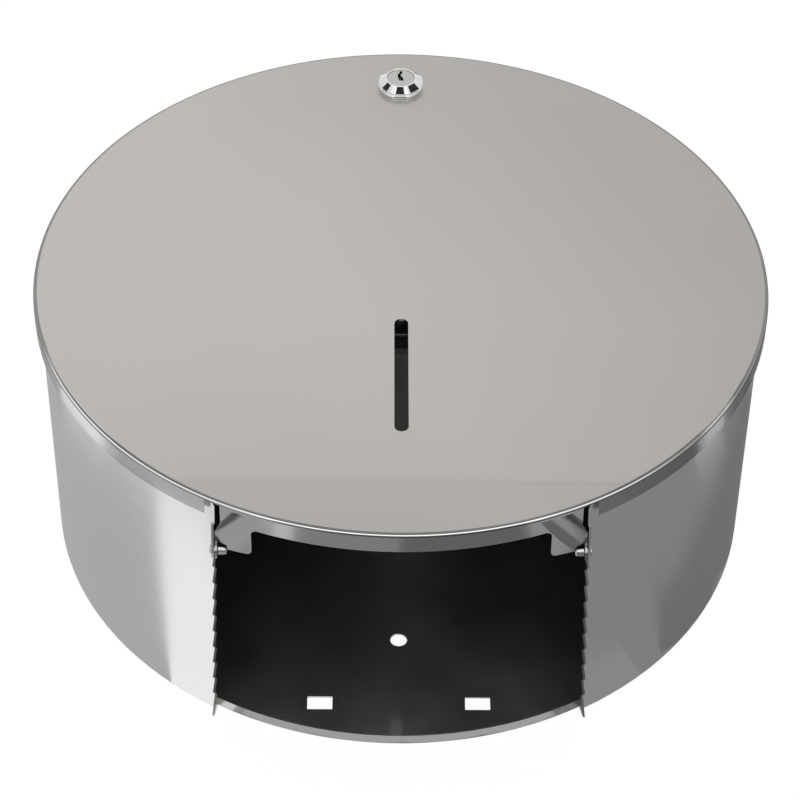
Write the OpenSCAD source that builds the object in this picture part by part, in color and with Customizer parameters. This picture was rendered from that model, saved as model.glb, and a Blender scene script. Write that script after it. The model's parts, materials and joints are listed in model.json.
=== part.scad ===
// Jumbo toilet roll dispenser, drawn lying on its back.
// The wall face of the back plate is z = 0 and +Z points out of the wall.
// +Y points to the lock, which is the top in use; the paper leaves at -Y.

/* [Case] */
// Diameter of the front cover
cover_d = 270; // [260:1:290]
// Distance from the wall to the front face of the cover
case_depth = 112; // [108:1:120]
// Thickness of the stainless sheet
sheet = 0.8; // [0.6:0.1:1]
// Radius of the pressed outer edges
edge_r = 1.4; // [1.2:0.1:2]
// Gap between the cover's rim and the body band
rim_gap = 1.2; // [1:0.1:1.6]
// Gap between the cover's inner face and the band's front edge
front_gap = 1.2; // [0.8:0.1:1.6]
// Gap between the back plate's rim and the band around it
plate_gap = 0.1; // [0.05:0.05:0.2]
// Height of the back plate's turned-up rim
plate_rim_h = 5; // [4:0.5:8]

/* [Front cover] */
// Depth of the cover's rim
rim_h = 8; // [6:0.5:9]
// Distance from the opening's edge in to the end of the front stretch of rim
front_rim_gap = 1.8; // [1.8:0.1:3]
// Distance from the opening's edge out to the side stretch of rim
side_rim_gap = 3.6; // [3.2:0.1:6]
// Width of the sight slot
sight_w = 5; // [4:0.5:8]
// Length of the sight slot
sight_l = 58.6; // [40:0.2:64]
// Distance from the cover's edge to the middle of the sight slot
sight_edge = 79.4; // [74:0.2:90]

/* [Paper opening] */
// Width of the opening at the front of the case
opening_front_w = 126.8; // [125:0.2:127.2]
// Width of the opening at the wall
opening_back_w = 134.4; // [132:0.2:135]
// Rounding of the band's front corners beside the opening
opening_corner_r = 4.4; // [3:0.1:6]
// Distance between two teeth of the tear edge
tooth_pitch = 8.5; // [7:0.5:9]
// How far a tooth stands out from its root
tooth_h = 2.8; // [2:0.2:3.4]
// Number of whole teeth on each side
tooth_count = 9; // [5:1:9]
// Height of the lowest whole tooth's tip above the wall
tooth_z = 12.2; // [11:0.2:13]
// Outward lean of the toothed flanges
flange_lean = 12; // [6:1:14]

/* [Cover hinge] */
// Distance from the cover's edge in to the hinge axis
hinge_edge = 17; // [16.6:0.1:17.5]
// Depth of the hinge axis below the cover's face
hinge_drop = 24.9; // [24:0.1:26]
// Diameter of the hinge pin's shank
pin_d = 2.4; // [2:0.1:2.6]
// Running clearance round the shank in the cover's lug
pin_clearance = 0.06; // [0.03:0.01:0.09]
// Diameter of the hinge pin's inner head
pin_head_d = 3.7; // [3.4:0.1:4]
// Length of the hinge pin's inner head
pin_head_l = 3.2; // [2.5:0.1:4]
// Gap between the cover's lug and the flange beside it
lug_gap = 0.3; // [0.25:0.05:0.4]
// Radius of the lug and of the flange round the pin
lug_r = 3.2; // [2.9:0.1:3.3]
// Outer radius of the bend between hinge tab and lug
lug_bend_r = 2.4; // [1.8:0.1:2.8]
// Height of the flange's lobe above the hinge axis
lobe_rise = 11; // [9:0.5:13]
// Length of the hinge tab, measured from the opening's edge
tab_l = 12.4; // [11:0.2:15]
// Depth of the hinge tab's lower edge below the cover's face
tab_drop = 20.7; // [19.6:0.1:21.4]
// Depth of the diagonal valley pressed into the hinge tab
valley_depth = 1.1; // [0.8:0.1:1.3]
// Radius of the diagonal valley
valley_r = 13; // [11:1:15]
// Lean of the valley from the vertical
valley_lean = 38; // [33:1:40]

/* [Lock] */
// Distance from the cover's edge in to the lock's axis
lock_inset = 22; // [21:0.5:24]
// Diameter of the lock's head
lock_head_d = 18; // [17:0.5:19]
// Diameter of the head's flat front
lock_front_d = 12; // [11.8:0.1:13]
// Height of the head above the cover
lock_head_h = 4.2; // [4:0.1:6]
// Height of the head's upright edge
lock_edge_h = 2.4; // [1.8:0.1:3]
// Diameter of the threaded barrel
barrel_d = 16; // [15:0.5:16]
// Length of the barrel below the head
barrel_l = 16; // [15.5:0.5:17]
// Width across the barrel's two flats
barrel_flats = 14; // [13:0.5:14.5]
// Diameter of the turning plug
plug_d = 10.9; // [10.4:0.1:11]
// Running clearance round the plug
plug_clearance = 0.06; // [0.03:0.01:0.09]
// Width of the keyway
keyway_w = 2.4; // [2:0.1:3]
// Height of the keyway
keyway_h = 6.1; // [5:0.1:6.2]
// Depth of the keyway
keyway_depth = 16; // [14:0.5:16]
// Number of wafers in the plug
wafer_count = 5; // [3:1:5]
// Thickness of a wafer
wafer_t = 1; // [0.8:0.1:1.2]
// Length of the cam from the lock's axis to its tip
cam_l = 16.5; // [15:0.5:17]
// Width of the cam
cam_w = 11; // [10:0.5:12]
// Thickness of the cam
cam_t = 1.8; // [1.5:0.1:2]
// Angle through which the key turns the cam
lock_turn = 90; // [80:5:90]

/* [Keeper] */
// Width of the keeper bracket
keeper_w = 26; // [22:1:30]
// Height of the keeper's leg on the band
keeper_h = 20; // [14:1:24]
// Thickness of the keeper bracket
keeper_t = 1.2; // [1:0.1:1.5]
// How far the keeper's lip reaches in from the band
lip_reach = 7.4; // [6.5:0.1:8]
// Gap between the cam and the keeper's lip above it
lip_gap = 0.5; // [0.4:0.1:0.6]

/* [Spindle and core hub] */
// Diameter of the spindle
spindle_d = 18; // [16:1:20]
// Gap between the spindle's end and the cover
spindle_gap = 18.4; // [12:0.2:24]
// Wall thickness of the spindle's tube
spindle_wall = 2; // [1.5:0.1:3]
// Thickness of the spindle's tapped end
spindle_end_t = 8; // [6:0.5:12]
// Diameter of the spindle's foot
foot_d = 56; // [52:1:58]
// Thickness of the spindle's foot
foot_t = 2; // [1.5:0.1:3]
// Diameter of the circle of foot rivets
rivet_circle_d = 40; // [36:1:42]
// Diameter of a foot rivet's shank
rivet_d = 4; // [3:0.5:5]
// Outer diameter of the core hub
hub_d = 44; // [42:1:46]
// Wall thickness of the core hub
hub_wall = 2.5; // [2:0.5:3]
// Wall thickness of the hub's inner sleeve
sleeve_wall = 2; // [1.5:0.1:3]
// Thickness of the ribs between sleeve and hub
rib_t = 2; // [1.5:0.1:3]
// Number of ribs
rib_count = 6; // [3:1:8]
// Running clearance between the core hub and the spindle
hub_clearance = 0.08; // [0.04:0.01:0.09]
// End gap of the core hub between the foot and the end washer
hub_end_gap = 0.5; // [0.3:0.1:0.8]
// Diameter of the end washer
end_washer_d = 30; // [26:1:34]
// Thickness of the end washer
end_washer_t = 1.5; // [1:0.1:2]
// Diameter of the end screw
end_screw_d = 5; // [4:0.5:6]
// Length of the end screw's shank
end_screw_l = 12; // [10:0.5:16]

/* [Wall fixing holes] */
// Diameter of the two round screw holes
screw_hole_d = 6.3; // [5:0.1:8]
// Distance from the plate's edge to the middle of a round screw hole
screw_hole_edge = 50.1; // [45:0.1:60]
// Length of a rectangular slot
slot_l = 9.2; // [7:0.2:11]
// Width of a rectangular slot
slot_w = 6.1; // [5:0.1:7]
// Distance between the two slots of a pair
slot_pitch_x = 57.8; // [50:0.2:60]
// Distance from the plate's edge to the middle of a pair of slots
slot_edge = 19.1; // [18:0.1:26]

/* [Hidden] */
$fn = 96;

satin = "silver";
steel = "gainsboro";
eps = 0.01;

// Case, from the cover inwards
cover_r = cover_d / 2;
rim_inner_r = cover_r - sheet;
band_r = rim_inner_r - rim_gap;
band_inner_r = band_r - sheet;
plate_r = band_inner_r - plate_gap;
cover_under_z = case_depth - sheet;
band_h = cover_under_z - front_gap;
rim_low_z = case_depth - rim_h;
rim_top_z = case_depth - edge_r;
screw_hole_y = plate_r - screw_hole_edge;
slot_y = plate_r - slot_edge;
sight_y = cover_r - sight_edge;

// Opening: the half width falls evenly from the wall to the front
taper = atan((opening_back_w - opening_front_w) / 2 / case_depth);
function half_open(z) = (opening_back_w - (opening_back_w - opening_front_w) * z / case_depth) / 2;
function band_face_y(z) = -sqrt(band_r * band_r - pow(half_open(z), 2));

// Hinge: the band's lobe, the cover's lug beside it and the pin through both
hinge_y = cover_r - hinge_edge;
hinge_z = case_depth - hinge_drop;
lobe_face_x = half_open(hinge_z);
lobe_low_z = hinge_z - lug_r - 0.5;
lobe_top_z = hinge_z + lobe_rise;
lug_face_x = lobe_face_x - lug_gap;
lug_bend_x = lug_face_x - lug_bend_r;
lug_bend_y = -sqrt(pow(cover_r - lug_bend_r, 2) - lug_bend_x * lug_bend_x);
pin_head_x = lug_face_x - sheet - 0.1;
bend_relief = 2.7;
bend_low_z = hinge_z + pin_head_d / 2 + bend_relief;
relief_x = pin_head_x - pin_head_l - 0.25;
front_rim_x = half_open(case_depth) - front_rim_gap;
side_rim_x = half_open(case_depth) + side_rim_gap;
tab_x = half_open(case_depth) - tab_l;
tab_z = case_depth - tab_drop;
rim_patch_x = tab_x - 0.7 * tab_l;
pin_dome_h = 0.9;
pin_dome_d = pin_d + 1.2;
lug_bore_d = pin_d + 2 * pin_clearance;

// Lock, from the cover's front face inwards
lock_y = cover_r - lock_inset;
lock_top_z = case_depth + lock_head_h;
barrel_end_z = case_depth - barrel_l;
stop_h = 1.4;
axial_gap = 0.2;
stop_washer_t = 1.2;
stop_washer_z = barrel_end_z - axial_gap - stop_washer_t;
cam_z = stop_washer_z - cam_t;
spring_washer_t = 0.8;
plug_tail_w = 7;
cam_screw_d = 4;
nut_across = 21;
nut_t = 3;
tooth_washer_t = 0.8;
stop_half = 18;
stop_play = 2;
wafer_w = 6.4;
wafer_step = 2.4;
first_wafer = 4;
keyway_shift = 1.6;

// Keeper: the lip's underside is just above the cam
lip_z = cam_z + cam_t + lip_gap;

// Spindle and hub
foot_z = sheet;
spindle_z = foot_z + foot_t;
spindle_l = cover_under_z - spindle_gap - spindle_z;
hub_z = spindle_z + hub_end_gap;
hub_l = spindle_l - 2 * hub_end_gap;
hub_bore_d = spindle_d + 2 * hub_clearance;
hub_tube_l = hub_l - edge_r;
end_screw_head_d = 1.9 * end_screw_d;
end_screw_head_h = 0.6 * end_screw_d;
rivet_count = 4;

// A sheet-metal corner profile: outer radius r at the origin, wall inside
module edge_quarter(r, wall) {
    intersection() {
        difference() {
            circle(r);
            circle(max(r - wall, 0.2));
        }
        square(r);
    }
}

// Shallow dish of sheet with a rim: outer radius r, flat at the top z = h
module dish(r, h, rim) {
    rotate_extrude() {
        translate([0, h - sheet]) square([r - edge_r, sheet]);
        translate([r - sheet, h - rim]) square([sheet, rim - edge_r]);
        translate([r - edge_r, h - edge_r]) edge_quarter(edge_r, sheet);
    }
}

// Prism along Y from an X-Z outline, on the opening's side of the case
module front_prism(depth) {
    rotate([90, 0, 0]) linear_extrude(height = depth) children();
}

// Places a left copy beside the right one
module both_sides() {
    children();
    mirror([1, 0, 0]) children();
}

// Frame on the band's outer face at the right-hand edge of the opening: z runs up the edge
module at_opening_edge() {
    back_lean = atan((band_face_y(0) - band_face_y(hinge_z)) / hinge_z);
    translate([half_open(0), band_face_y(0), 0]) rotate([back_lean, -taper, 0]) children();
}

module back_plate() {
    color(steel) difference() {
        // the pan is the dish turned over, so its flat floor lies on the wall
        translate([0, 0, plate_rim_h]) mirror([0, 0, 1])
            dish(plate_r, plate_rim_h, plate_rim_h);
        for (s = [-1, 1]) {
            translate([0, s * screw_hole_y, -1])
                cylinder(d = screw_hole_d, h = sheet + 2);
            for (t = [-1, 1])
                translate([s * slot_pitch_x / 2, t * slot_y, sheet / 2])
                    cube([slot_l, slot_w, sheet + 2], center = true);
        }
        foot_rivet_places() translate([0, 0, -1]) cylinder(d = rivet_d, h = sheet + 2);
    }
}

// Front view of the opening, stepped beside the hinge lobes and narrower below them
// by the bend of the toothed flanges, with the band's two front corners rounded off
module opening_outline() {
    top = band_h + 1;
    bend = sheet * 0.6;
    for (s = [-1, 1]) scale([s, 1]) {
        polygon([
            [0, -1], [half_open(-1) - bend, -1], [half_open(lobe_low_z) - bend, lobe_low_z],
            [lobe_face_x, lobe_low_z], [lobe_face_x, lobe_top_z], [half_open(lobe_top_z), lobe_top_z],
            [half_open(top), top], [0, top],
        ]);
        difference() {
            translate([half_open(band_h) - 1, band_h - opening_corner_r])
                square([opening_corner_r + 1, opening_corner_r + 1]);
            translate([half_open(band_h) + opening_corner_r, band_h - opening_corner_r])
                circle(opening_corner_r);
        }
    }
}

// Side view of the tear edge: whole teeth, and a longer half tooth at the wall
module teeth_outline() {
    root = 0.3;
    valley_z = tooth_z - tooth_pitch / 2;
    top_z = valley_z + tooth_count * tooth_pitch;
    teeth = [for (i = [0 : tooth_count - 1])
        let (v = valley_z + i * tooth_pitch, t = v + tooth_pitch / 2)
        each [[band_face_y(v) - root, v], [band_face_y(t) - root - tooth_h, t]]];
    polygon(concat(
        [[band_face_y(0) + sheet, 0], [band_face_y(0) - root - tooth_h - sheet, 0]],
        teeth,
        [[band_face_y(top_z) - root, top_z], [band_face_y(top_z) + sheet, top_z]]
    ));
}

// Side view of the lobe that carries the hinge pin
module lobe_outline() {
    intersection() {
        hull() {
            translate([-hinge_y, hinge_z]) circle(lug_r);
            translate([band_face_y(lobe_top_z) + 0.4, lobe_top_z - 0.6]) circle(0.6);
        }
        translate([-band_r, 0]) square([band_r + band_face_y(hinge_z) + sheet, band_h]);
    }
}

// Right-hand flange: the tear edge leans outwards, the hinge lobe stands square to the pin
module flange() {
    reach = 12;
    intersection() {
        at_opening_edge() rotate([0, 0, flange_lean])
            translate([-sheet, -reach, -1]) cube([sheet, reach + sheet, lobe_low_z + 1]);
        side_prism(0, band_r) teeth_outline();
    }
    side_prism(lobe_face_x, sheet) lobe_outline();
}

// Prism along X from a Y-Z outline, from x to x + t
module side_prism(x, t) {
    translate([x, 0, 0]) rotate([90, 0, 90]) linear_extrude(height = t) children();
}

module body_band() {
    color(steel) difference() {
        union() {
            difference() {
                rotate_extrude() translate([band_inner_r, 0]) square([sheet, band_h]);
                front_prism(band_r + 1) opening_outline();
            }
            both_sides() flange();
        }
        both_sides() hinge_bore(pin_d);
    }
}

// Bore along X through the lobe or the lug of the right-hand side
module hinge_bore(d) {
    translate([lug_bend_x, -hinge_y, hinge_z]) rotate([0, 90, 0]) cylinder(d = d, h = 4 * pin_d);
}

// Front view of the rim's end piece and the hinge tab below it, on the right-hand side
module tab_outline() {
    fillet = 2.4;
    lip = 2.6;
    fall = 0.9;
    slope_x = lug_face_x + 0.4;
    translate([rim_patch_x, rim_low_z - eps])
        square([front_rim_x - rim_patch_x, rim_top_z - rim_low_z + eps]);
    difference() {
        polygon([
            [tab_x - fillet, rim_low_z], [front_rim_x, rim_low_z], [front_rim_x, rim_low_z - 2],
            [slope_x, hinge_z + 2.4 * lug_r], [slope_x, bend_low_z], [relief_x, bend_low_z],
            [relief_x, tab_z - fall], [tab_x + lip, tab_z], [tab_x, tab_z + lip],
            [tab_x, rim_low_z - fillet], [tab_x - fillet, rim_low_z - fillet],
        ]);
        translate([tab_x - fillet, rim_low_z - fillet]) circle(fillet);
    }
    translate([tab_x + lip, tab_z + lip]) circle(lip);
}

// Plan of the ear's outer face, set in by t: the rim's circle and the bend that ends it
module ear_plan(t) {
    intersection() {
        circle(cover_r - t);
        polygon([[0, 0], [0, -2 * cover_r], [2 * lug_bend_x, 2 * lug_bend_y]]);
    }
    intersection() {
        translate([lug_bend_x, lug_bend_y]) circle(lug_bend_r - t);
        translate([0, -cover_r]) square([cover_r, cover_r + lug_bend_y]);
    }
}

// The tab is rim sheet that runs on towards the wall and bends inwards at its outer edge.
// A diagonal valley is pressed into it, and it steps up at the bend to clear the pin's head.
module hinge_tab() {
    intersection() {
        front_prism(cover_r + 1) tab_outline();
        union() {
            difference() {
                linear_extrude(height = case_depth) difference() {
                    ear_plan(0);
                    ear_plan(sheet);
                }
                valley_punch(0);
            }
            intersection() {
                linear_extrude(height = case_depth) ear_plan(0);
                difference() {
                    valley_punch(sheet);
                    valley_punch(0);
                }
            }
        }
    }
}

// Round-nosed punch of the valley, grown by t on all its faces; it stops under the cover's edge
module valley_punch(t) {
    middle = asin((tab_x + half_open(case_depth)) / 2 / cover_r);
    intersection() {
        rotate([0, 0, middle])
            translate([0, -cover_r + valley_depth - valley_r, rim_low_z - 2])
                rotate([0, -valley_lean, 0])
                    cylinder(r = valley_r + t, h = case_depth / 2, center = true);
        translate([0, -2 * cover_r, 0])
            cube([cover_r, 2 * cover_r, rim_top_z - sheet + t]);
    }
}

// Side view of the lug: round at the pin, and a strip up along the bend
module lug_outline() {
    strip_h = 2.4 * lug_r;
    translate([-hinge_y, hinge_z]) circle(lug_r);
    translate([lug_bend_y - sheet / 2, hinge_z])
        square([lug_r - hinge_y - lug_bend_y + sheet / 2, strip_h]);
}

module lock_section(across, flats) {
    intersection() {
        circle(d = across);
        square([flats, across], center = true);
    }
}

module front_cover() {
    color(satin) difference() {
        union() {
            difference() {
                dish(cover_r, case_depth, rim_h);
                both_sides() translate([rim_patch_x, -cover_r, rim_low_z - 1])
                    cube([side_rim_x - rim_patch_x, cover_r, rim_top_z - rim_low_z + 1]);
            }
            both_sides() hinge_tab();
            both_sides() side_prism(lug_face_x - sheet, sheet) lug_outline();
        }
        both_sides() hinge_bore(lug_bore_d);
        for (s = [-1, 1]) translate([0, -sight_y + s * (sight_l - sight_w) / 2, cover_under_z - 1])
            cylinder(d = sight_w, h = sheet + 2);
        translate([-sight_w / 2, -sight_y - (sight_l - sight_w) / 2, cover_under_z - 1])
            cube([sight_w, sight_l - sight_w, sheet + 2]);
        translate([0, lock_y, cover_under_z - 1]) linear_extrude(height = sheet + 2)
            lock_section(barrel_d + 0.2, barrel_flats + 0.2);
    }
}

// One shouldered pin: inner head, shank through lug and flange, closed outer dome
module hinge_pin() {
    outer_x = lobe_face_x + sheet;
    translate([0, -hinge_y, hinge_z]) rotate([0, 90, 0]) {
        translate([0, 0, pin_head_x - pin_head_l]) cylinder(d = pin_head_d, h = pin_head_l);
        translate([0, 0, pin_head_x - eps])
            cylinder(d = pin_d, h = outer_x - pin_head_x + 2 * eps);
        translate([0, 0, outer_x]) cylinder(d1 = pin_dome_d, d2 = pin_d * 0.7, h = pin_dome_h);
    }
}

module hinge_pin_right() {
    color(steel) hinge_pin();
}

module hinge_pin_left() {
    color(steel) mirror([1, 0, 0]) hinge_pin();
}

module lock_housing() {
    bore_d = plug_d + 2 * plug_clearance;
    color(steel) translate([0, lock_y, 0]) difference() {
        union() {
            translate([0, 0, case_depth]) cylinder(d = lock_head_d, h = lock_edge_h);
            translate([0, 0, case_depth + lock_edge_h])
                cylinder(d1 = lock_head_d, d2 = lock_front_d, h = lock_head_h - lock_edge_h);
            translate([0, 0, barrel_end_z]) linear_extrude(height = barrel_l)
                lock_section(barrel_d, barrel_flats);
            stop_sector();
        }
        translate([0, 0, barrel_end_z - stop_h - 1]) cylinder(d = bore_d, h = barrel_l + lock_head_h + 3);
    }
}

// Stop on the barrel's end: the wall that the stop washer's finger runs against
module stop_sector() {
    first = stop_half + stop_play + lock_turn;
    sweep = 360 - first - stop_half - stop_play;
    translate([0, 0, barrel_end_z - stop_h]) rotate([0, 0, first])
        rotate_extrude(angle = sweep) translate([plug_d / 2 + 0.6, 0])
            square([barrel_flats / 2 - plug_d / 2 - 0.6, stop_h + eps]);
}

// Zigzag slot for a key with a groove along each side, set towards the plug's edge
module keyway_outline() {
    translate([0, keyway_shift]) scale([keyway_w, keyway_h]) polygon([
        [-0.2, 0.5], [0.25, 0.5], [0.25, 0.25], [0, 0.2], [0, 0], [0.3, -0.1], [0.5, -0.5],
        [-0.2, -0.5], [-0.42, -0.23], [-0.5, 0.22], [-0.2, 0.27],
    ]);
}

module lock_plug() {
    tail_l = stop_washer_t + cam_t - 0.1;
    color(steel) translate([0, lock_y, 0]) difference() {
        union() {
            translate([0, 0, stop_washer_z + stop_washer_t])
                cylinder(d = plug_d, h = lock_top_z - 0.4 - stop_washer_z - stop_washer_t);
            translate([-plug_tail_w / 2, -plug_tail_w / 2, stop_washer_z + stop_washer_t - tail_l])
                cube([plug_tail_w, plug_tail_w, tail_l + eps]);
        }
        translate([0, 0, lock_top_z - keyway_depth]) linear_extrude(height = keyway_depth + 1)
            keyway_outline();
        wafer_places() wafer_slot();
        translate([0, 0, cam_z - 1]) cylinder(d = cam_screw_d, h = 8);
    }
}

module wafer_places() {
    for (i = [0 : wafer_count - 1])
        translate([0, 0, lock_top_z - first_wafer - i * wafer_step]) children();
}

// A slot runs right across the plug, so its wafer can slide out to the housing
module wafer_slot() {
    slot_play = 0.1;
    translate([0, 0, -wafer_t / 2])
        cube([wafer_w + slot_play, plug_d + 1, wafer_t + slot_play], center = true);
}

// Wafers drawn level with the plug's face, as they are with the key in the lock
module lock_wafers() {
    color("goldenrod") translate([0, lock_y, 0]) wafer_places() translate([0, 0, -wafer_t / 2])
        difference() {
            intersection() {
                cube([wafer_w, plug_d, wafer_t], center = true);
                cylinder(d = plug_d - 0.2, h = wafer_t, center = true);
            }
            translate([0, keyway_shift, 0])
                cube([keyway_w + 0.6, keyway_h - 1.2, wafer_t + 1], center = true);
        }
}

module lock_tooth_washer() {
    tooth_n = 12;
    washer_r = nut_across / 2 - 0.4;
    color(steel) translate([0, lock_y, cover_under_z - tooth_washer_t]) difference() {
        cylinder(r = washer_r, h = tooth_washer_t);
        translate([0, 0, -1]) cylinder(d = barrel_d + 0.4, h = tooth_washer_t + 2);
        for (i = [0 : tooth_n - 1]) rotate([0, 0, i * 360 / tooth_n])
            translate([washer_r, 0, -1]) cylinder(r = 0.9, h = tooth_washer_t + 2);
    }
}

module lock_nut() {
    color(steel) translate([0, lock_y, cover_under_z - tooth_washer_t - nut_t]) difference() {
        cylinder(d = nut_across / cos(30), h = nut_t, $fn = 6);
        translate([0, 0, -1]) cylinder(d = barrel_d + 0.2, h = nut_t + 2);
    }
}

module tail_hole(t) {
    translate([0, 0, t / 2]) cube([plug_tail_w + 0.1, plug_tail_w + 0.1, t + 2], center = true);
}

module stop_washer() {
    finger_r = barrel_flats / 2 - 0.2;
    color(steel) translate([0, lock_y, stop_washer_z]) difference() {
        union() {
            cylinder(d = plug_d, h = stop_washer_t);
            rotate([0, 0, -stop_half]) rotate_extrude(angle = 2 * stop_half)
                square([finger_r, stop_washer_t]);
        }
        tail_hole(stop_washer_t);
    }
}

// The cam points to +X when the cover is free and to +Y, under the lip, when locked
module lock_cam() {
    color(steel) translate([0, lock_y, cam_z]) difference() {
        union() {
            cylinder(d = cam_w + 2, h = cam_t);
            translate([0, -cam_w / 2, 0]) cube([cam_l - cam_w / 2, cam_w, cam_t]);
            translate([cam_l - cam_w / 2, 0, 0]) cylinder(d = cam_w, h = cam_t);
        }
        tail_hole(cam_t);
    }
}

module cam_spring_washer() {
    color(steel) translate([0, lock_y, cam_z - spring_washer_t]) difference() {
        cylinder(d = 2.4 * cam_screw_d, h = spring_washer_t);
        translate([0, 0, -1]) cylinder(d = cam_screw_d + 0.3, h = spring_washer_t + 2);
        rotate([0, 0, 200]) translate([0, -0.3, -1]) cube([6, 0.6, spring_washer_t + 2]);
    }
}

module cam_screw() {
    head_h = 2.2;
    head_z = cam_z - spring_washer_t - head_h;
    color(steel) translate([0, lock_y, head_z]) difference() {
        union() {
            cylinder(d = 7.4, h = head_h);
            cylinder(d = cam_screw_d - 0.1, h = head_h + spring_washer_t + cam_t + 5);
        }
        for (a = [0, 90]) rotate([0, 0, a]) translate([-2, -0.4, -1]) cube([4, 0.8, 2]);
    }
}

// Angle bracket curved to the band, spot-welded inside it below the cam
module lock_keeper() {
    half = asin(keeper_w / 2 / band_inner_r);
    seat_r = band_inner_r - 0.02;
    color(steel) rotate([0, 0, 90 - half]) rotate_extrude(angle = 2 * half) {
        translate([seat_r - keeper_t, lip_z + keeper_t - keeper_h]) square([keeper_t, keeper_h]);
        translate([seat_r - lip_reach, lip_z]) square([lip_reach - keeper_t / 2, keeper_t]);
    }
}

module foot_rivet_places() {
    for (i = [0 : rivet_count - 1]) rotate([0, 0, 45 + i * 360 / rivet_count])
        translate([rivet_circle_d / 2, 0, 0]) children();
}

module spindle_foot() {
    color(steel) translate([0, 0, foot_z]) difference() {
        cylinder(d = foot_d, h = foot_t);
        foot_rivet_places() translate([0, 0, -1]) cylinder(d = rivet_d, h = foot_t + 2);
    }
}

module foot_rivets() {
    color(steel) foot_rivet_places() cylinder(d = rivet_d, h = spindle_z);
}

// Turned tube with a closed, tapped end
module spindle() {
    color(steel) translate([0, 0, spindle_z]) difference() {
        cylinder(d = spindle_d, h = spindle_l);
        translate([0, 0, -1])
            cylinder(d = spindle_d - 2 * spindle_wall, h = spindle_l - spindle_end_t + 1);
        cylinder(d = end_screw_d, h = spindle_l + 1);
    }
}

// Moulded hub that carries the roll's core: a tube and a sleeve joined by ribs and a front wall
module core_hub() {
    color("dimgray") translate([0, 0, hub_z]) difference() {
        union() {
            difference() {
                cylinder(d = hub_d, h = hub_tube_l);
                translate([0, 0, -1])
                    cylinder(d = hub_d - 2 * hub_wall, h = hub_tube_l - hub_wall + 1);
            }
            translate([0, 0, hub_tube_l])
                cylinder(d1 = hub_d, d2 = hub_d - 2 * edge_r, h = edge_r);
            cylinder(d = hub_bore_d + 2 * sleeve_wall, h = hub_tube_l);
            for (i = [0 : rib_count - 1]) rotate([0, 0, i * 360 / rib_count])
                translate([hub_bore_d / 2, -rib_t / 2, rib_t])
                    cube([(hub_d - hub_wall - hub_bore_d) / 2, rib_t, hub_tube_l - rib_t]);
        }
        translate([0, 0, -1]) cylinder(d = hub_bore_d, h = hub_l + 2);
    }
}

module end_washer() {
    color(steel) translate([0, 0, spindle_z + spindle_l]) difference() {
        cylinder(d = end_washer_d, h = end_washer_t);
        translate([0, 0, -1]) cylinder(d = end_screw_d + 0.3, h = end_washer_t + 2);
    }
}

// Pan-head screw with a cross recess
module end_screw() {
    head_z = spindle_z + spindle_l + end_washer_t;
    recess_l = end_screw_head_d / 2;
    recess_w = end_screw_head_d / 9;
    color(steel) difference() {
        union() {
            translate([0, 0, head_z]) cylinder(d = end_screw_head_d, h = end_screw_head_h);
            translate([0, 0, head_z - end_screw_l])
                cylinder(d = end_screw_d - 0.1, h = end_screw_l + eps);
        }
        for (a = [0, 90]) rotate([0, 0, a])
            translate([-recess_l / 2, -recess_w / 2, head_z + end_screw_head_h / 2])
                cube([recess_l, recess_w, end_screw_head_h]);
    }
}

back_plate();
body_band();
front_cover();
hinge_pin_left();
hinge_pin_right();
lock_housing();
lock_plug();
lock_wafers();
lock_nut();
lock_tooth_washer();
stop_washer();
lock_cam();
cam_spring_washer();
cam_screw();
lock_keeper();
spindle_foot();
spindle();
foot_rivets();
core_hub();
end_washer();
end_screw();
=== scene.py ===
import json
import math

import bmesh
import bpy
from mathutils import Matrix, Vector

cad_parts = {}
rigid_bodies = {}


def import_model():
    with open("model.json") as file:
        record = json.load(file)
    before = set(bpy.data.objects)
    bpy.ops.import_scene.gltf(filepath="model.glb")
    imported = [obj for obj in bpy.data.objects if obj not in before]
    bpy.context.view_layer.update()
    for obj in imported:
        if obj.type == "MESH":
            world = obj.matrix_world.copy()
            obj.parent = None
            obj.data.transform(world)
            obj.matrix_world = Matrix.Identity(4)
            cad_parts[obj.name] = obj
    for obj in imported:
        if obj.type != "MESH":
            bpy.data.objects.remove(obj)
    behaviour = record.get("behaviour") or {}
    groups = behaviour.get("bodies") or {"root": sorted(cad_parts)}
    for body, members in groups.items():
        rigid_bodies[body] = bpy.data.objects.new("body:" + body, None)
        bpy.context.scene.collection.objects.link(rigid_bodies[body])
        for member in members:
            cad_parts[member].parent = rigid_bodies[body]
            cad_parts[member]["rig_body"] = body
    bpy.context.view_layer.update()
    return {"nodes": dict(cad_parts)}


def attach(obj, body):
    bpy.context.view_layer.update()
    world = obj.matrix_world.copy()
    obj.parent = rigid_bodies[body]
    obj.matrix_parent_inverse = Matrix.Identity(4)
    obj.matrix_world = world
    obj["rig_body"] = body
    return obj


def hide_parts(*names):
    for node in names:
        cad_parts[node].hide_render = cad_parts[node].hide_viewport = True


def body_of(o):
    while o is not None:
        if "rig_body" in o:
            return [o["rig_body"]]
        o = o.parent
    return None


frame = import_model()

nodes = frame["nodes"]

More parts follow.
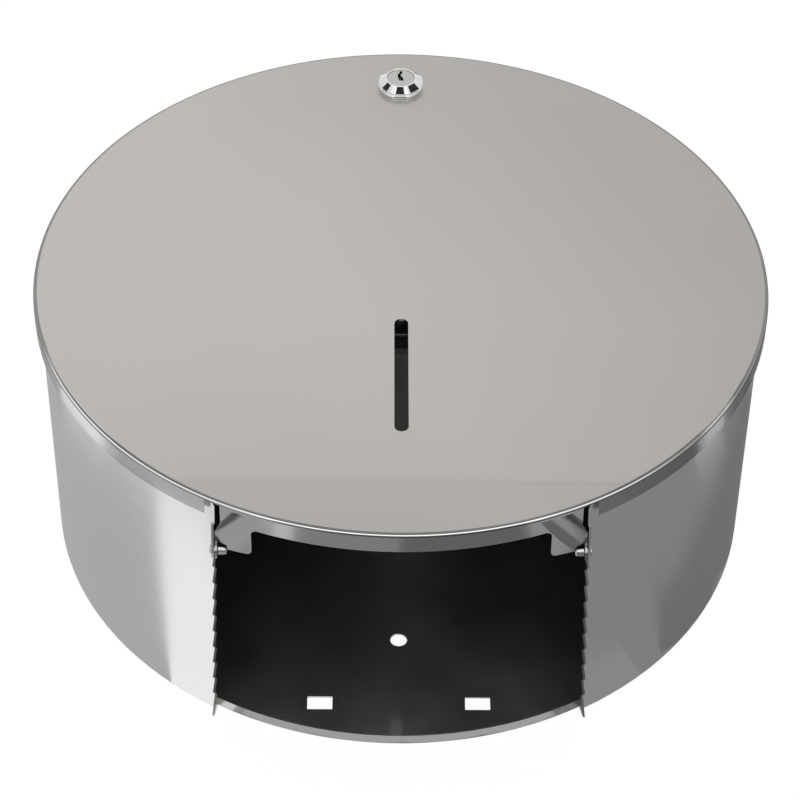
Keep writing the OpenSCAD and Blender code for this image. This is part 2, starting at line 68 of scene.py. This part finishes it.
# Camera: stands before the paper opening and looks down on the case, which lies on its back.
# It is a little off the middle and tilted, as a hand-set tripod leaves it.
camera_aim = Vector((0.0002, 0.0, 0.0469))
camera_distance = 1.0831
camera_elevation = math.radians(43.31)
camera_roll = math.radians(0.746)
camera_side_turn = Matrix.Rotation(math.radians(-0.6), 4, "Z")
camera_data = bpy.data.cameras.new("camera")
camera_data.sensor_width = 36
camera_data.lens = 126.82
camera_data.clip_end = 20
camera = bpy.data.objects.new("camera", camera_data)
camera_away = Vector((0, -math.cos(camera_elevation), math.sin(camera_elevation)))
camera_place = Matrix.Translation(camera_aim + camera_away * camera_distance)
camera_tilt = Matrix.Rotation(math.pi / 2 - camera_elevation, 4, "X")
camera.matrix_world = (
    camera_side_turn @ camera_place @ camera_tilt @ Matrix.Rotation(camera_roll, 4, "Z")
)
bpy.context.collection.objects.link(camera)
bpy.context.scene.camera = camera
bpy.context.scene.view_settings.view_transform = "Standard"


# Back plate: a flat pan of 0.8 mm stainless sheet with a turned-up rim, pressed in one stroke.
# Its floor keeps the mill's dull rolled skin; the punched holes take the screws into the wall.
edge_round = 0.0014  # outer radius of a sheet's pressed edge
plate_edge = (0.1307, 0.0014, -1)  # radius and height of the edge's middle, and that it turns down


def new_material(name, colour, metallic, roughness):
    material = bpy.data.materials.new(name)
    material.use_nodes = True
    tree = material.node_tree
    tree.nodes.clear()
    surface = tree.nodes.new("ShaderNodeBsdfPrincipled")
    surface.inputs["Base Color"].default_value = (*colour, 1)
    surface.inputs["Metallic"].default_value = metallic
    surface.inputs["Roughness"].default_value = roughness
    output = tree.nodes.new("ShaderNodeOutputMaterial")
    tree.links.new(surface.outputs["BSDF"], output.inputs["Surface"])
    return material, tree, surface


def noise_on(tree, fineness, detail=4.0):
    """Noise in the piece's own coordinates, of the given fineness along X, Y and Z."""
    place = tree.nodes.new("ShaderNodeTexCoord")
    drawn = tree.nodes.new("ShaderNodeMapping")
    drawn.inputs["Scale"].default_value = fineness
    noise = tree.nodes.new("ShaderNodeTexNoise")
    noise.inputs["Scale"].default_value = 1.0
    noise.inputs["Detail"].default_value = detail
    noise.inputs["Roughness"].default_value = 0.62
    tree.links.new(place.outputs["Object"], drawn.inputs["Vector"])
    tree.links.new(drawn.outputs["Vector"], noise.inputs["Vector"])
    return noise.outputs["Fac"]


def spread_to(tree, value, low, high, start=0.3, end=0.7):
    """Maps a value between start and end evenly onto low to high."""
    step = tree.nodes.new("ShaderNodeMapRange")
    step.inputs["From Min"].default_value = start
    step.inputs["From Max"].default_value = end
    step.inputs["To Min"].default_value = low
    step.inputs["To Max"].default_value = high
    tree.links.new(value, step.inputs["Value"])
    return step.outputs["Result"]


def shade_by(tree, surface, factor, colour=None):
    """Makes the finish lighter or darker by a factor; `colour` is another node's output."""
    shade = tree.nodes.new("ShaderNodeVectorMath")
    shade.operation = "SCALE"
    if colour:
        tree.links.new(colour, shade.inputs[0])
    else:
        shade.inputs[0].default_value = surface.inputs["Base Color"].default_value[:3]
    tree.links.new(factor, shade.inputs["Scale"])
    tree.links.new(shade.outputs["Vector"], surface.inputs["Base Color"])


def dull_by(tree, surface, value, low, high):
    """Roughness that runs from low to high with the value."""
    tree.links.new(spread_to(tree, value, low, high), surface.inputs["Roughness"])


def relief_by(tree, surface, height, depth):
    relief = tree.nodes.new("ShaderNodeBump")
    relief.inputs["Distance"].default_value = depth
    tree.links.new(height, relief.inputs["Height"])
    tree.links.new(relief.outputs["Normal"], surface.inputs["Normal"])


# rolled skin: cloudy tone, a little orange peel and no grain, under a thin clear film
inner_steel, tree, surface = new_material("inner_steel", (0.40, 0.41, 0.385), 1.0, 0.45)
surface.inputs["Coat Weight"].default_value = 0.7
surface.inputs["Coat Roughness"].default_value = 0.05
clouds = noise_on(tree, (26, 26, 26), 3.0)
peel = noise_on(tree, (1400, 1400, 1400), 3.0)
shade_by(tree, surface, spread_to(tree, clouds, 0.93, 1.07))
dull_by(tree, surface, clouds, 0.4, 0.5)
relief_by(tree, surface, peel, 0.000003)


def reckon(tree, operation, first, second=0.0):
    """One step of arithmetic on numbers or other nodes' outputs."""
    step = tree.nodes.new("ShaderNodeMath")
    step.operation = operation
    for socket, value in zip(step.inputs, (first, second)):
        if isinstance(value, (int, float)):
            socket.default_value = value
        else:
            tree.links.new(value, socket)
    return step.outputs[0]


def brushed_steel(name, colour, roughness, drawn_out, across, fineness, scratch, streak=0.025):
    """Steel with a ground grain, whose highlights are drawn out along `across`."""
    material, tree, surface = new_material(name, colour, 1.0, roughness)
    surface.inputs["Anisotropic"].default_value = drawn_out
    streaks = noise_on(tree, fineness, 5.0)
    clouds = noise_on(tree, (9, 9, 9), 2.0)
    tone = reckon(
        tree, "MULTIPLY", spread_to(tree, streaks, 1 - streak, 1 + streak),
        spread_to(tree, clouds, 0.985, 1.015),
    )
    shade_by(tree, surface, tone)
    dull_by(tree, surface, streaks, roughness - 0.02, roughness + 0.03)
    relief_by(tree, surface, streaks, scratch)
    drawn = tree.nodes.new("ShaderNodeVectorTransform")
    drawn.vector_type = "VECTOR"
    drawn.convert_from = "OBJECT"
    drawn.convert_to = "WORLD"
    drawn.inputs["Vector"].default_value = across
    tree.links.new(drawn.outputs["Vector"], surface.inputs["Tangent"])
    return material, tree, surface, tone


plate_rim_steel = brushed_steel(
    "plate_rim_steel", (0.56, 0.56, 0.545), 0.26, 0.6, (0, 0, 1), (40, 40, 2600), 0.000008
)[0]


def place_piece(piece, node):
    """Puts a piece on the body that its node rides on."""
    bpy.context.collection.objects.link(piece)
    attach(piece, body_of(nodes[node])[0])


def sheet_copy(node, finishes, pick, edge=None):
    """A sheet piece in its own smooth shading, with a finish picked for each face.

    Its pressed edge, if it has one, is drawn in a hair, so that it lies under its skin.
    """
    hair, outer_face, draw_in = 0.00003, 0.0011, 0.04
    form = bmesh.new()
    form.from_mesh(nodes[node].data)
    shading = form.loops.layers.float_vector.new("shading")
    corners = [corner for face in form.faces for corner in face.loops]
    for corner, normal in zip(corners, nodes[node].data.corner_normals):
        corner[shading] = normal.vector
    bmesh.ops.remove_doubles(form, verts=form.verts, dist=0.000001)
    if edge:
        ring_r, ring_z, side = edge
        for vert in form.verts:
            out = math.hypot(vert.co.x, vert.co.y) - ring_r
            rise = vert.co.z - ring_z
            if out > hair and rise * side > hair and math.hypot(out, rise) > outer_face:
                vert.co.x *= 1 - draw_in * out / (ring_r + out)
                vert.co.y *= 1 - draw_in * out / (ring_r + out)
                vert.co.z -= draw_in * rise
    mesh = bpy.data.meshes.new(node + "_finished")
    form.to_mesh(mesh)
    form.free()
    mesh.normals_split_custom_set([value.vector for value in mesh.attributes["shading"].data])
    mesh.attributes.remove(mesh.attributes["shading"])
    for finish in finishes:
        mesh.materials.append(finish)
    for face in mesh.polygons:
        face.material_index = pick(face.center, face.normal)
    piece = bpy.data.objects.new(node + "_finished", mesh)
    place_piece(piece, node)
    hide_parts(node)


def add_piece(name, form, finish, node, crease=34, stands_for_node=True):
    """Makes a piece of the form, shaded smooth but for its real edges."""
    mesh = bpy.data.meshes.new(name)
    form.to_mesh(mesh)
    form.free()
    mesh.materials.append(finish)
    mesh.shade_smooth()
    mesh.set_sharp_from_angle(angle=math.radians(crease))
    piece = bpy.data.objects.new(name, mesh)
    even = piece.modifiers.new("even_shading", "WEIGHTED_NORMAL")
    even.keep_sharp = True
    place_piece(piece, node)
    if stands_for_node:
        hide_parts(node)


def turned(line, to_place=Matrix(), steps=64):
    """Spins a line of (radius, height) points about its own axis, as a lathe would cut it."""
    form = bmesh.new()
    verts = [form.verts.new((radius, 0, height)) for radius, height in line]
    edges = [form.edges.new(pair) for pair in zip(verts, verts[1:])]
    bmesh.ops.spin(
        form, geom=verts + edges, cent=(0, 0, 0), axis=(0, 0, 1), angle=2 * math.pi,
        steps=steps, use_merge=True,
    )
    bmesh.ops.remove_doubles(form, verts=form.verts, dist=0.000001)
    bmesh.ops.transform(form, matrix=to_place, verts=form.verts)
    bmesh.ops.recalc_face_normals(form, faces=form.faces)
    return form


def edge_skin(node, finish, edge):
    """A smooth skin on a sheet's pressed edge, 0.03 mm thick."""
    ring_r, ring_z, side = edge
    outside = [(edge_round, math.radians(4.5 * step)) for step in range(21)]
    inside = [(edge_round - 0.00003, angle) for _, angle in outside[::-5]]
    line = [
        (ring_r + reach * math.cos(angle), ring_z + side * reach * math.sin(angle))
        for reach, angle in outside + inside + outside[:1]
    ]
    form = turned(line, steps=360)
    add_piece(node + "_bend", form, finish, node, 60, stands_for_node=False)


def looks_out(centre, normal):
    """True for a face that looks away from the case's middle line."""
    return normal.x * centre.x + normal.y * centre.y > 0.8 * math.hypot(centre.x, centre.y)


sheet_copy("back_plate", [inner_steel, plate_rim_steel], looks_out, plate_edge)
edge_skin("back_plate", plate_rim_steel, plate_edge)


# Body band: a strip of stainless sheet rolled into a ring that is open at the paper's side.
# Its outside is ground along the strip; the two ends are bent out and cut into tearing teeth.
band_steel = brushed_steel(
    "band_steel", (0.81, 0.815, 0.805), 0.2, 0.75, (0, 0, 1), (40, 40, 2600), 0.00001
)[0]
mill_steel, tree, surface = new_material("mill_steel", (0.36, 0.365, 0.35), 1.0, 0.22)
clouds = noise_on(tree, (30, 30, 30), 3.0)
shade_by(tree, surface, spread_to(tree, clouds, 0.93, 1.07))
dull_by(tree, surface, clouds, 0.19, 0.26)
sheet_copy("body_band", [mill_steel, band_steel], looks_out)


# Keeper: an angle of plated steel, curved to the band and spot-welded inside it.
# The lock's cam turns in under its lip and holds the cover shut.
plated_steel, tree, surface = new_material("plated_steel", (0.6, 0.61, 0.62), 1.0, 0.34)
clouds = noise_on(tree, (160, 160, 160), 4.0)
grains = noise_on(tree, (2600, 2600, 2600), 2.0)
tint = tree.nodes.new("ShaderNodeMix")
tint.data_type = "RGBA"
tint.inputs["A"].default_value = (0.56, 0.585, 0.62, 1)
tint.inputs["B"].default_value = (0.64, 0.63, 0.6, 1)
tree.links.new(spread_to(tree, clouds, 0.0, 1.0), tint.inputs["Factor"])
tree.links.new(tint.outputs["Result"], surface.inputs["Base Color"])
dull_by(tree, surface, grains, 0.28, 0.42)
relief_by(tree, surface, grains, 0.000006)


def edged_copy(node, finish, edge, rounds=2):
    """A solid piece with its sharp edges broken by the given width."""
    form = bmesh.new()
    form.from_mesh(nodes[node].data)
    bmesh.ops.remove_doubles(form, verts=form.verts, dist=0.000002)
    bmesh.ops.dissolve_limit(
        form, angle_limit=math.radians(0.04), verts=form.verts, edges=form.edges
    )
    sharp = [
        corner for corner in form.edges
        if len(corner.link_faces) == 2 and corner.calc_face_angle(0) > math.radians(30)
    ]
    bmesh.ops.bevel(
        form, geom=sharp, offset=edge, offset_type="OFFSET", segments=rounds, profile=0.5,
        affect="EDGES", clamp_overlap=True, material=-1,
    )
    add_piece(node + "_finished", form, finish, node)


edged_copy("lock_keeper", plated_steel, 0.0003, 3)


# Spindle: a turned steel tube with a closed, tapped end, on a round foot of thick sheet.
# Four rivets through the foot and the back plate are hammered almost flush.
turned_steel, tree, surface = new_material("turned_steel", (0.6, 0.6, 0.59), 1.0, 0.24)
rings = noise_on(tree, (30, 30, 3200), 3.0)
shade_by(tree, surface, spread_to(tree, rings, 0.94, 1.06))
dull_by(tree, surface, rings, 0.2, 0.3)
relief_by(tree, surface, rings, 0.000012)
edged_copy("spindle", turned_steel, 0.0004, 3)
edged_copy("spindle_foot", plated_steel, 0.0004, 3)
edged_copy("foot_rivets", plated_steel, 0.0002, 3)


# Core hub: a black moulded plastic tube with ribs round an inner sleeve, which carries the roll.
# It turns freely on the spindle; its edges are rounded by the mould and rubbed by the cores.
hub_plastic, tree, surface = new_material("hub_plastic", (0.075, 0.072, 0.068), 0.0, 0.55)
rubbed = noise_on(tree, (60, 60, 14), 5.0)
grain = noise_on(tree, (2200, 2200, 2200), 2.0)
shade_by(tree, surface, spread_to(tree, rubbed, 0.75, 1.3))
dull_by(tree, surface, rubbed, 0.62, 0.48)
relief_by(tree, surface, grain, 0.00003)
edged_copy("core_hub", hub_plastic, 0.0004, 3)


# End washer and screw: a plain washer and a pan-head screw, both of zinc-plated steel.
# The screw goes into the spindle's tapped end and keeps the hub on it with a little play.
edged_copy("end_washer", plated_steel, 0.0002)
edged_copy("end_screw", plated_steel, 0.0003, 3)


# Front cover: a shallow dish of satin stainless sheet with a pressed sight slot.
# Two ears run down from its rim, creased by a pressed valley, and end in the hinge lugs.
cover_edge = (0.1336, 0.1106, 1)  # radius and height of the edge's middle, and that it turns up
press_line_y = -0.11
cover_steel, tree, surface, tone = brushed_steel(
    "cover_steel", (0.575, 0.555, 0.535), 0.3, 0.7, (1, 0, 0), (2600, 30, 2600), 0.000004, 0.01
)


def along(tree, direction):
    """How far a point of the piece lies along a direction."""
    place = tree.nodes.new("ShaderNodeTexCoord")
    run = tree.nodes.new("ShaderNodeVectorMath")
    run.operation = "DOT_PRODUCT"
    run.inputs[1].default_value = direction
    tree.links.new(place.outputs["Object"], run.inputs[0])
    return run.outputs["Value"]


# painted shade, no shape: a darker line across the sheet and a darker strip in front of it
past_line = reckon(tree, "SUBTRACT", along(tree, (0, 1, 0)), press_line_y)
off_line = reckon(tree, "ABSOLUTE", past_line)
painted_shade_strip = spread_to(tree, past_line, 0.93, 1, -0.002, 0.004)
line = spread_to(tree, off_line, 0.95, 1, 0.0002, 0.0016)
# painted shade: the flat darkens from the left front to the right back, and a little at its front
painted_shade_fall = spread_to(tree, along(tree, (1, 0.6, 0)), 1.0, 0.84, -0.03, 0.12)
front = spread_to(tree, along(tree, (0, 1, 0)), 0.96, 1, -0.1, -0.03)
for part in (painted_shade_strip, line, painted_shade_fall, front):
    tone = reckon(tree, "MULTIPLY", tone, part)
shade_by(tree, surface, tone)

# painted highlight and painted shade on the rounded edge, set by height: a bright line between two
# dark ones
cover_rim_steel, tree, surface, tone = brushed_steel(
    "cover_rim_steel", (0.44, 0.445, 0.45), 0.15, 0.0, (0, 0, 1), (40, 40, 2600), 0.000004
)
painted_edge_light = tree.nodes.new("ShaderNodeValToRGB")
levels = painted_edge_light.color_ramp
levels.elements[0].position = 0.2
levels.elements[0].color = (0.44, 0.445, 0.45, 1)
levels.elements[1].position = 1.0
levels.elements[1].color = (0.45, 0.44, 0.43, 1)
for position, level in (
    (0.3, 0.2), (0.5, 0.16), (0.58, 0.98), (0.76, 0.98), (0.83, 0.13), (0.95, 0.16)
):
    stop = levels.elements.new(position)
    stop.color = (level, level, level, 1)
edge_height = spread_to(tree, along(tree, (0, 0, 1)), 0, 1, 0.1103, 0.112)
tree.links.new(edge_height, painted_edge_light.inputs["Fac"])
# the painted highlight and dark lines are strongest at the front and fade to an even grey towards
# the sides
edge_tones = tree.nodes.new("ShaderNodeMix")
edge_tones.data_type = "RGBA"
edge_tones.inputs["B"].default_value = (0.3, 0.3, 0.295, 1)
to_side = spread_to(tree, along(tree, (0.2, 1, 0)), 0, 0.85, -0.1, -0.075)
tree.links.new(to_side, edge_tones.inputs["Factor"])
tree.links.new(painted_edge_light.outputs["Color"], edge_tones.inputs["A"])
# painted highlight: two stretches of the rim are painted brighter than the rest
for spot, reach in (((-0.1165, -0.069, 0.1075), 0.03), ((0.1115, -0.0765, 0.1075), 0.013)):
    place = tree.nodes.new("ShaderNodeTexCoord")
    far = tree.nodes.new("ShaderNodeVectorMath")
    far.operation = "DISTANCE"
    far.inputs[1].default_value = spot
    tree.links.new(place.outputs["Object"], far.inputs[0])
    painted_highlight = spread_to(tree, far.outputs["Value"], 1.75, 1, reach * 0.6, reach * 1.05)
    tone = reckon(tree, "MULTIPLY", tone, painted_highlight)
shade_by(tree, surface, tone, edge_tones.outputs["Result"])


def looks_up(centre, normal):
    """True for a face of the cover's flat."""
    return normal.z > 0.9992


sheet_copy("front_cover", [cover_rim_steel, cover_steel], looks_up, cover_edge)
edge_skin("front_cover", cover_rim_steel, cover_edge)


# Hinge pins: two shouldered pins turned from steel rod and polished, one on each side.
# Each goes through the band's lobe and the cover's lug and is riveted over outside the lobe.
pin_steel, tree, surface = new_material("pin_steel", (0.64, 0.63, 0.62), 1.0, 0.16)
rings = noise_on(tree, (3000, 60, 60), 3.0)
shade_by(tree, surface, spread_to(tree, rings, 0.93, 1.05))
dull_by(tree, surface, rings, 0.12, 0.22)
relief_by(tree, surface, rings, 0.000006)


def rounded(points, size):
    """The line through the points with each corner between them rounded off."""
    line = [Vector(points[0])]
    for before, corner, after in zip(points, points[1:], points[2:]):
        before, corner, after = Vector(before), Vector(corner), Vector(after)
        reach = min(size, (corner - before).length * 0.45, (after - corner).length * 0.45)
        start = corner + (before - corner).normalized() * reach
        end = corner + (after - corner).normalized() * reach
        for step in range(5):
            part = step / 4
            line.append(start.lerp(corner, part).lerp(corner.lerp(end, part), part))
    return line + [Vector(points[-1])]


# (radius, distance from the middle) from the inner end to the riveted head
pin_line = rounded(
    [(0, 0.05984), (0.00105, 0.05984), (0.00125, 0.06), (0.0015, 0.05986), (0.00185, 0.0603),
     (0.00185, 0.06304), (0.0012, 0.06304), (0.0012, 0.06504), (0.0018, 0.06504),
     (0.0017, 0.0656), (0.0009, 0.06592), (0, 0.06594)],
    0.00025,
)
hinge_axis = Matrix.Translation((0, -0.118, 0.0871))
for side, node in ((-1, "hinge_pin_left"), (1, "hinge_pin_right")):
    form = turned(pin_line, hinge_axis @ Matrix.Rotation(side * math.pi / 2, 4, "Y"))
    add_piece(node + "_finished", form, pin_steel, node, 50)


# Cam lock: a chromed die-cast housing with a coned head, and the plug that the key turns.
# The chrome is bright all over, with faint polishing marks; the wafers are stamped brass.
lock_y = 0.113
head_from_z = 0.1118  # just under the cover's face


def polished_chrome(name, colour, roughness):
    material, tree, surface = new_material(name, colour, 1.0, roughness)
    smears = noise_on(tree, (260, 260, 260), 4.0)
    shade_by(tree, surface, spread_to(tree, smears, 0.96, 1.03))
    dull_by(tree, surface, smears, roughness * 0.8, roughness * 1.4)
    relief_by(tree, surface, smears, 0.000003)
    return material


lock_chrome = polished_chrome("lock_chrome", (0.86, 0.86, 0.86), 0.05)
# the barrel, cut off and closed under the cover's face
form = bmesh.new()
form.from_mesh(nodes["lock_housing"].data)
bmesh.ops.remove_doubles(form, verts=form.verts, dist=0.000002)
cut = bmesh.ops.bisect_plane(
    form, geom=form.verts[:] + form.edges[:] + form.faces[:], dist=0.000001,
    plane_co=(0, 0, head_from_z), plane_no=(0, 0, 1), clear_outer=True,
)
bmesh.ops.triangle_fill(
    form, use_beauty=True, normal=(0, 0, 1),
    edges=[edge for edge in cut["geom_cut"] if isinstance(edge, bmesh.types.BMEdge)],
)
# the head: the plug's bore, a rounded nose, the cone, a groove and the ring on the cover
head_line = rounded(
    [(0.00551, head_from_z), (0.00551, 0.11605), (0.00566, 0.1162), (0.00605, 0.1162),
     (0.00875, 0.11436), (0.00875, 0.1142), (0.0083, 0.11402), (0.0083, 0.1135),
     (0.00876, 0.11326), (0.009, 0.1126), (0.009, 0.11204), (0.0079, 0.11202),
     (0.0079, head_from_z), (0.00551, head_from_z)],
    0.00018,
)
head = turned(head_line, Matrix.Translation((0, lock_y, 0)), 96)
head_mesh = bpy.data.meshes.new("lock_head")
head.to_mesh(head_mesh)
head.free()
form.from_mesh(head_mesh)
add_piece("lock_housing_finished", form, lock_chrome, "lock_housing", 50)

worn_chrome = polished_chrome("worn_chrome", (0.54, 0.54, 0.53), 0.12)
edged_copy("lock_plug", worn_chrome, 0.0001, 1)

wafer_brass, tree, surface = new_material("wafer_brass", (0.66, 0.48, 0.22), 1.0, 0.3)
smears = noise_on(tree, (700, 700, 700), 3.0)
shade_by(tree, surface, spread_to(tree, smears, 0.85, 1.1))
dull_by(tree, surface, smears, 0.26, 0.4)
edged_copy("lock_wafers", wafer_brass, 0.0001)


# Lock's inner parts: nut and toothed washer clamp the housing to the cover; stop washer, cam,
# spring washer and screw turn with the plug. All are stamped or turned steel, zinc plated.
edged_copy("lock_nut", plated_steel, 0.0004, 3)
edged_copy("lock_tooth_washer", plated_steel, 0.0001)
edged_copy("stop_washer", plated_steel, 0.0002)
edged_copy("lock_cam", plated_steel, 0.0003, 3)
edged_copy("cam_spring_washer", plated_steel, 0.0001)
edged_copy("cam_screw", plated_steel, 0.0003, 3)


# Stage: a pale floor and room, soft lamps, and grey cards that only the steel's gloss sees.
# The cards lie on the floor round the case or stand and hang near it, to shade bare metal.
world = bpy.data.worlds.new("room")
bpy.context.scene.world = world
world.use_nodes = True
room = world.node_tree.nodes["Background"]
room.inputs["Color"].default_value = (1, 1, 1, 1)
room.inputs["Strength"].default_value = 0.8


def flat_paint(name, level):
    """Paint that shows the same level from everywhere."""
    paint = bpy.data.materials.new(name)
    paint.use_nodes = True
    tree = paint.node_tree
    tree.nodes.clear()
    glow = tree.nodes.new("ShaderNodeEmission")
    glow.inputs["Strength"].default_value = level
    output = tree.nodes.new("ShaderNodeOutputMaterial")
    tree.links.new(glow.outputs["Emission"], output.inputs["Surface"])
    return paint, tree, glow, output


def stage_piece(name, form, paint):
    mesh = bpy.data.meshes.new(name)
    form.to_mesh(mesh)
    form.free()
    mesh.materials.append(paint)
    piece = bpy.data.objects.new(name, mesh)
    bpy.context.collection.objects.link(piece)
    return piece


# the floor shows white to the eye and to gloss, and keeps a little of the case's shadow
floor_paint, tree, glow, output = flat_paint("floor_paint", 1.03)
matt = tree.nodes.new("ShaderNodeBsdfDiffuse")
matt.inputs["Color"].default_value = (0.85, 0.85, 0.85, 1)
ray = tree.nodes.new("ShaderNodeLightPath").outputs
seen = reckon(tree, "MAXIMUM", ray["Is Camera Ray"], ray["Is Glossy Ray"])
seen = reckon(tree, "MAXIMUM", seen, ray["Is Transmission Ray"])
both = tree.nodes.new("ShaderNodeMixShader")
tree.links.new(reckon(tree, "MULTIPLY", seen, 0.93), both.inputs["Fac"])
tree.links.new(matt.outputs[0], both.inputs[1])
tree.links.new(glow.outputs[0], both.inputs[2])
tree.links.new(both.outputs[0], output.inputs["Surface"])
form = bmesh.new()
bmesh.ops.create_grid(form, x_segments=1, y_segments=1, size=4)
bmesh.ops.translate(form, vec=(0, 0, -0.0002), verts=form.verts)
stage_piece("floor", form, floor_paint)


def grey_card(name, level, corners):
    """A flat card that only reflections show."""
    form = bmesh.new()
    form.faces.new([form.verts.new(corner) for corner in corners])
    card = stage_piece(name, form, flat_paint(name, level)[0])
    for kind in ("camera", "diffuse", "transmission", "shadow", "volume_scatter"):
        setattr(card, "visible_" + kind, False)


# cards that lie flat: name, height, level and outline; where two overlap, one lies higher
for name, height, level, outline in (
    ("card_left_back", 0.0004, 0.46,
     [(-0.02, -0.099), (-0.2, -0.111), (-1.2, -0.2), (-1.2, 1.2), (-0.02, 1.2)]),
    ("card_front", 0.0004, 0.42,
     [(-0.06, -0.114), (0, -0.114), (0, -1.5), (-0.42, -1.5), (-0.09, -0.2)]),
    ("card_right", 0.0004, 0.245,
     [(0, -0.12), (0.0, -1.5), (1.5, -1.5), (1.5, 1.2), (-0.02, 1.2)]),
    ("card_foot_right", 0.0006, 0.17,
     [(0.1, -0.09), (0.125, -0.05), (0.135, 0), (0.135, 0.06), (0.2, 0.04), (0.17, -0.04),
      (0.13, -0.09)]),
    ("card_patch_left", 0.0008, 1.0,
     [(-0.2045, -0.055), (-0.2045, -0.02), (-0.1985, 0.018), (-0.214, 0.026),
      (-0.222, -0.02), (-0.222, -0.056)]),
    ("card_patch_right", 0.0008, 0.75,
     [(0.204, -0.052), (0.2035, -0.012), (0.219, -0.008), (0.221, -0.055)]),
    ("card_rim_right", 0.0008, 0.26,
     [(0.155, -0.155), (0.187, -0.115), (0.2005, -0.072), (0.204, -0.054), (0.221, -0.056),
      (0.218, -0.08), (0.205, -0.125), (0.17, -0.17)]),
    ("card_rim_left", 0.0008, 0.8,
     [(-0.16, -0.158), (-0.186, -0.118), (-0.201, -0.074), (-0.204, -0.055),
      (-0.221, -0.056), (-0.218, -0.082), (-0.203, -0.128), (-0.175, -0.172)]),
    ("card_foot_front", 0.0008, 0.6,
     [(-0.058, -0.1196), (-0.03, -0.1294), (0, -0.1329), (0.03, -0.1294), (0.058, -0.1196),
      (0.06, -0.15), (-0.06, -0.15)]),
    ("card_lock_middle", 0.415, 0.03,
     [(-0.08, -0.017), (0.0615, -0.017), (0.0615, 0.073), (-0.08, 0.073)]),
    ("card_lock_left", 0.615, 0.03,
     [(-0.33, 0.18), (-0.45, 0.36), (-0.51, 0.45), (-0.64, 0.36), (-0.57, 0.26),
      (-0.42, 0.1)]),
    ("card_lock_right", 0.615, 0.03,
     [(0.23, 0.1), (0.3, 0.15), (0.4, 0.26), (0.51, 0.42), (0.65, 0.36), (0.51, 0.17),
      (0.375, 0.05), (0.3, 0.0)]),
    ("card_foot_right_front", 0.0006, 0.29,
     [(0.05, -0.12), (0.09, -0.098), (0.104, -0.11), (0.07, -0.14)]),
    ("card_ear_left", 0.0006, 0.62,
     [(-0.105, -0.16), (-0.3, -0.15), (-0.3, -0.24), (-0.11, -0.215)]),
    ("card_ear_right", 0.0006, 0.55,
     [(0.105, -0.172), (0.16, -0.17), (0.17, -0.23), (0.115, -0.225)]),
    ("card_valley_left", 0.001, 0.08,
     [(-0.06, -0.152), (-0.112, -0.155), (-0.12, -0.176), (-0.075, -0.19)]),
    ("card_valley_right", 0.001, 0.08,
     [(0.06, -0.152), (0.108, -0.155), (0.116, -0.175), (0.072, -0.185)]),
):
    grey_card(name, level, [(x, y, height) for x, y in outline])
grey_card(
    "card_low_front", 0.15,
    [(-0.5, -0.8, 0.02), (0.5, -0.8, 0.02), (0.5, -0.8, 0.42), (-0.5, -0.8, 0.42)],
)


def soft_lamp(name, place, aim, width, height, level):
    """A rectangular lamp of an even level all over its face."""
    data = bpy.data.lights.new(name, "AREA")
    data.shape = "RECTANGLE"
    data.size = width
    data.size_y = height
    data.energy = level * math.pi * width * height
    lamp = bpy.data.objects.new(name, data)
    lamp.location = place
    lamp.rotation_euler = (Vector(aim) - Vector(place)).to_track_quat("-Z", "Y").to_euler()
    bpy.context.collection.objects.link(lamp)


soft_lamp("lamp_over", (-0.05, 0.05, 1.5), (-0.05, 0.051, 0.11), 1.4, 0.35, 0.25)
soft_lamp("lamp_behind", (-0.35, 1.5, 1.41), (0, 0, 0.11), 1.6, 0.62, 0.12)
soft_lamp("lamp_front", (0, -1.23, 1.28), (0, -0.13, 0.11), 2.4, 2.6, 0.4)
